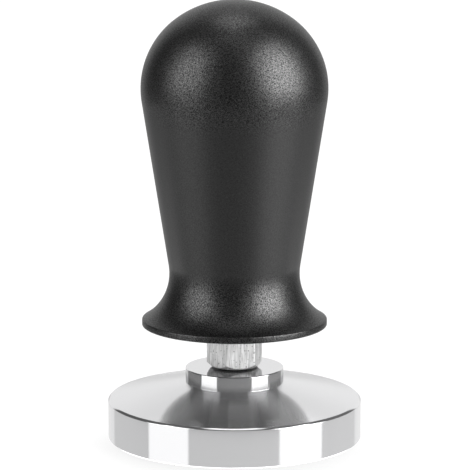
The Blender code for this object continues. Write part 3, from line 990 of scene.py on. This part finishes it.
STEM_CORNER = STEM_ACROSS_FLATS / 2 / cos(pi / 6)
buffer = ring(
    "rubber_buffer",
    STEM_CORNER + GAP,
    radius_of("return_buffer"),
    foot_of("return_buffer"),
    top_of("return_buffer"),
    edge=0.35 * MM,
)
shade(buffer)
finish(buffer, "base", "return_buffer", RUBBER)

# %% [markdown]
# The seat rests on the spring at the top of its chamber. Its long pin stops the press on the screw.

# %% Spring seat
SEAT_THICKNESS = 2.0 * MM


def make_seat():
    top = top_of("upper_spring_seat")
    bottom = foot_of("upper_spring_seat")
    plate = top - SEAT_THICKNESS
    radius = radius_of("upper_spring_seat")
    corners = [(radius, top), (radius, plate), (BOSS_RADIUS, plate), (BOSS_RADIUS, bottom), (0, bottom)]
    seat = turn("pinned_spring_seat", (0, top), straight(*corners), SMALL_STEPS)
    soften(seat, width=0.3 * MM, segments=3)
    shade(seat)
    return seat


seat = make_seat()
finish(seat, "handle", "upper_spring_seat", ZINC)

# %% [markdown]
# ## The spring
#
# A press spring is wound with its end turns closed, so that they lie on each other, and its ends are
# then ground flat to stand square. The wire's middle line is a curve. A first point is extruded along
# it by small steps, the way a winder feeds wire, and the curve's own round section makes the wire.

# %% Winding the spring
SPRING_BOTTOM = foot_of("calibration_spring")
SPRING_TOP = top_of("calibration_spring")
SPRING_OUTER = radius_of("calibration_spring")
WIRE = 2.0 * MM
TURNS = 7
CLOSED_PITCH = WIRE + 0.15 * MM  # the end turns stay just clear of each other
STEPS_PER_TURN = 60
WIRE_SIDES = 20


def wire_height(turns):
    """Height of the wire's middle line: a closed turn at each end, and open turns between."""
    open_turns = TURNS - 2
    open_pitch = (SPRING_TOP - SPRING_BOTTOM - WIRE / 2 - 2 * CLOSED_PITCH) / open_turns
    opened = min(max(turns - 1, 0), open_turns)
    return SPRING_BOTTOM + WIRE / 4 + (turns - opened) * CLOSED_PITCH + opened * open_pitch


def make_spring():
    radius = SPRING_OUTER - WIRE / 2
    begin_outline("wound_spring", radius, wire_height(0))
    here = Vector((radius, 0, wire_height(0)))
    for step in range(1, TURNS * STEPS_PER_TURN + 1):
        turns = step / STEPS_PER_TURN
        there = Vector((radius * cos(2 * pi * turns), radius * sin(2 * pi * turns), wire_height(turns)))
        bpy.ops.mesh.extrude_vertices_move(TRANSFORM_OT_translate={"value": there - here})
        here = there
    bpy.ops.object.mode_set(mode="OBJECT")
    bpy.ops.object.convert(target="CURVE")
    wire = bpy.context.object
    wire.data.bevel_depth = WIRE / 2
    wire.data.bevel_resolution = WIRE_SIDES // 4 - 1
    wire.data.use_fill_caps = True
    bpy.ops.object.convert(target="MESH")
    spring = bpy.context.object
    bpy.ops.object.mode_set(mode="EDIT")
    bpy.ops.mesh.select_all(action="SELECT")
    bpy.ops.mesh.remove_doubles(threshold=MM / 1000)
    bpy.ops.mesh.normals_make_consistent(inside=False)
    bpy.ops.object.mode_set(mode="OBJECT")
    ground = plain_rod("grinding", SPRING_OUTER + PAST_FACE, SPRING_BOTTOM, SPRING_TOP)
    cut(spring, ground, "INTERSECT")
    shade(spring, 40)
    return spring


def spring_steel():
    material, shader = new_material("spring_steel", (0.46, 0.46, 0.48), 0.26, 1.0)
    drawn = object_noise(material, scale=1, detail=3, stretch=(900, 900, 3500))
    vary(material, drawn.outputs["Fac"], shader.inputs["Roughness"], 0.18, 0.36)
    add_bump(material, shader, drawn.outputs["Fac"], strength=0.15, distance=0.01 * MM)
    return material


spring = make_spring()
finish(spring, "base", "calibration_spring", spring_steel())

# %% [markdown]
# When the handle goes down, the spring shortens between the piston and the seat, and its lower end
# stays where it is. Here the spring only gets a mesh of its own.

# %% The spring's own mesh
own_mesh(spring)

# %% [markdown]
# ## The studio
#
# The tamper stands on a white floor in a white room. A mirror shows whatever is around it, so the
# room is drawn: bright panels to the left and right of the camera, a dark gap where the
# camera stands, dark walls at the sides, paler ones behind, and light from below, as from white
# paper. The floor is there for the camera only, so that the lower half of the room can stand for
# what the steel would see in it.

# %% World
world = bpy.data.worlds.new("studio")
world.use_nodes = True
bpy.context.scene.world = world
nodes = world.node_tree.nodes


def rise(value, at, blur):
    """0 below at and 1 above it, with a soft step of that width."""
    return remap(world, value, 0, 1, at - blur / 2, at + blur / 2, "SMOOTHSTEP")


def between(value, low, high, blur):
    return combine(world, "SUBTRACT", rise(value, low, blur), rise(value, high, blur))


split = nodes.new("ShaderNodeSeparateXYZ")
link(world, nodes.new("ShaderNodeTexCoord").outputs["Generated"], split.inputs[0])
to_camera = combine(world, "MULTIPLY", split.outputs["Y"], -1.0)
turned = combine(world, "ARCTAN2", split.outputs["X"], to_camera)
azimuth = combine(world, "DEGREES", turned)
elevation = combine(world, "DEGREES", combine(world, "ARCSINE", split.outputs["Z"]))

# %% [markdown]
# Azimuth 0 is where the camera stands, and positive angles are to its right. Each panel is a
# window in azimuth and in elevation, and the panels add up.

# %% Panels
AMBIENT = 0.06
PANELS = [
    # azimuths, elevations, edge blur, brightness
    ((-41, 41), (-24, 0), 3.0, 0.12),
    ((-84, -42), (-24, 0), 3.0, 1.25),
    ((41, 86), (-24, 0), 3.0, 1.25),
    ((-142, -86), (-24, 0), 3.0, 0.12),
    ((88, 142), (-24, 0), 3.0, 0.14),
    ((142, 185), (-24, 0), 3.0, 0.55),
    ((-185, -142), (-24, 0), 3.0, 0.55),
    ((-40, 40), (-95, -26), 8.0, 0.68),
    ((-118, -42), (-95, -26), 8.0, 1.1),
    ((42, 118), (-95, -26), 8.0, 1.6),
    ((-185, -118), (-95, -26), 8.0, 2.4),
    ((118, 185), (-95, -26), 8.0, 3.0),
    ((-150, -105), (-60, -21), 6.0, 1.6),
    ((108, 150), (-60, -21), 6.0, 1.3),
    ((-84, -43), (0, 50), 8.0, 4.1),
    ((41, 88), (-3, 50), 8.0, 9.0),
    ((142, 185), (0, 50), 6.0, 0.85),
    ((-185, -142), (0, 50), 6.0, 0.85),
    ((146, 185), (63, 86), 6.0, 4.5),
    ((-185, -146), (63, 86), 6.0, 4.5),
    ((-60, 60), (69, 79), 4.0, 1.6),
]

total = AMBIENT
for azimuths, elevations, blur, brightness in PANELS:
    across = between(azimuth, *azimuths, blur)
    window = combine(world, "MULTIPLY", across, between(elevation, *elevations, blur))
    total = combine(world, "ADD", total, combine(world, "MULTIPLY", window, brightness))
print(len(PANELS), "panels")

# %% [markdown]
# The panels that give the black handle its highlights are far brighter than white. They would burn
# out where the cone mirrors the collar, and the collar mirrors a panel. A ray from the camera that
# has met two mirrors before it reaches the room is therefore held back. The camera itself sees a
# white room.

# %% Room
TWICE_MIRRORED = 0.5
ONE_MIRROR_DEEP = 2.5
WHITE = (1, 1, 1, 1)

path = nodes.new("ShaderNodeLightPath")
again = combine(world, "GREATER_THAN", path.outputs["Ray Depth"], ONE_MIRROR_DEEP)
held = combine(world, "SUBTRACT", combine(world, "MINIMUM", total, TWICE_MIRRORED), total)
total = combine(world, "MULTIPLY_ADD", again, held, total)

room = nodes["Background"]
room.inputs["Color"].default_value = WHITE
link(world, total, room.inputs["Strength"])
backdrop = nodes.new("ShaderNodeBackground")
backdrop.inputs["Color"].default_value = WHITE
mix = nodes.new("ShaderNodeMixShader")
link(world, path.outputs["Is Camera Ray"], mix.inputs["Fac"])
link(world, room.outputs[0], mix.inputs[1])
link(world, backdrop.outputs[0], mix.inputs[2])
link(world, mix.outputs[0], nodes["World Output"].inputs["Surface"])
print("world nodes:", len(nodes))

# %% [markdown]
# The floor gives most of its light by itself, so that it stays almost white. It glows a little less
# round the front of the base, which paints a soft shade there.

# %% Floor
FLOOR_SIZE = 6.0
FLOOR_DROP = 0.02 * MM
PAINTED_SHADE_SHIFT = 10 * MM
PAPER_GLOW_AND_PAINTED_SHADE = (0.77, 0.95)

bpy.ops.object.select_all(action="DESELECT")
bpy.ops.mesh.primitive_plane_add(size=FLOOR_SIZE, location=(0, 0, -FLOOR_DROP))
floor = bpy.context.object
floor.name = "studio_floor"
paper = bpy.data.materials.new("white_paper")
paper.use_nodes = True
paper_shader = paper.node_tree.nodes["Principled BSDF"]
paper_shader.inputs["Base Color"].default_value = (0.1, 0.1, 0.1, 1)
paper_shader.inputs["Roughness"].default_value = 1.0
paper_shader.inputs["Specular IOR Level"].default_value = 0.0
paper_shader.inputs["Emission Color"].default_value = WHITE
# Painted shade: the floor glows less close to a point just in front of the base, and more further out.
place = add_node(paper, "ShaderNodeTexCoord")
distance = add_node(paper, "ShaderNodeVectorMath")
distance.operation = "DISTANCE"
link(paper, place.outputs["Object"], distance.inputs[0])
distance.inputs[1].default_value = (0, -PAINTED_SHADE_SHIFT, 0)
edge = BASE_RADIUS - PAINTED_SHADE_SHIFT
strength = paper_shader.inputs["Emission Strength"]
vary(paper, distance.outputs["Value"], strength, *PAPER_GLOW_AND_PAINTED_SHADE, edge, 2 * edge)
floor.data.materials.append(paper)
for ray in ("visible_diffuse", "visible_glossy", "visible_transmission", "visible_shadow"):
    setattr(floor, ray, False)
print(f"{floor.name}: {FLOOR_SIZE:.0f} m wide")

# %% [markdown]
# White paper close round the base lights the rim, which mirrors it at a slant. It is a ring that only
# reflections see. It adds its own light to a part of what is behind it.

# %% Glow round the base
GLOW_RADIUS = 55.5 * MM
GLOW = 0.55
SEEN_THROUGH = 0.5

bpy.ops.object.select_all(action="DESELECT")
bpy.ops.mesh.primitive_circle_add(
    vertices=96, radius=GLOW_RADIUS, fill_type="NGON", location=(0, 0, -FLOOR_DROP / 2)
)
glow = bpy.context.object
glow.name = "paper_glow"
bpy.ops.object.mode_set(mode="EDIT")
bpy.ops.mesh.inset(thickness=GLOW_RADIUS - BASE_RADIUS, depth=0)
bpy.ops.mesh.delete(type="FACE")
bpy.ops.object.mode_set(mode="OBJECT")
light = bpy.data.materials.new("paper_glow")
light.use_nodes = True
light_nodes = light.node_tree.nodes
light_nodes.remove(light_nodes["Principled BSDF"])
clear = add_node(light, "ShaderNodeBsdfTransparent", Color=(SEEN_THROUGH, SEEN_THROUGH, SEEN_THROUGH, 1))
shine = add_node(light, "ShaderNodeEmission", Strength=GLOW)
both = add_node(light, "ShaderNodeAddShader")
link(light, clear.outputs[0], both.inputs[0])
link(light, shine.outputs[0], both.inputs[1])
link(light, both.outputs[0], light_nodes["Material Output"].inputs["Surface"])
glow.data.materials.append(light)
for ray in ("visible_camera", "visible_diffuse", "visible_transmission", "visible_shadow"):
    setattr(glow, ray, False)
print(f"{glow.name}: {BASE_RADIUS / MM:.1f} to {GLOW_RADIUS / MM:.1f} mm from the axis")

# %% [markdown]
# The camera stands half a metre away, a little above the handle's top, with a long lens. The
# Standard view transform keeps white paper white.

# %% Camera
CAMERA_PLACE = (0.1 * MM, -500 * MM, 133.8 * MM)
CAMERA_LENS = 194.86
CAMERA_SENSOR = 36
LOOKS_DOWN = 10.49

camera_data = bpy.data.cameras.new("camera")
camera_data.sensor_width = CAMERA_SENSOR
camera_data.lens = CAMERA_LENS
camera = bpy.data.objects.new("camera", camera_data)
camera.location = CAMERA_PLACE
camera.rotation_euler = (radians(90 - LOOKS_DOWN), 0, 0)
bpy.context.scene.collection.objects.link(camera)
bpy.context.scene.camera = camera
bpy.context.scene.view_settings.view_transform = "Standard"
print(f"camera: {CAMERA_LENS:.0f} mm lens, looks down by {LOOKS_DOWN} degrees")
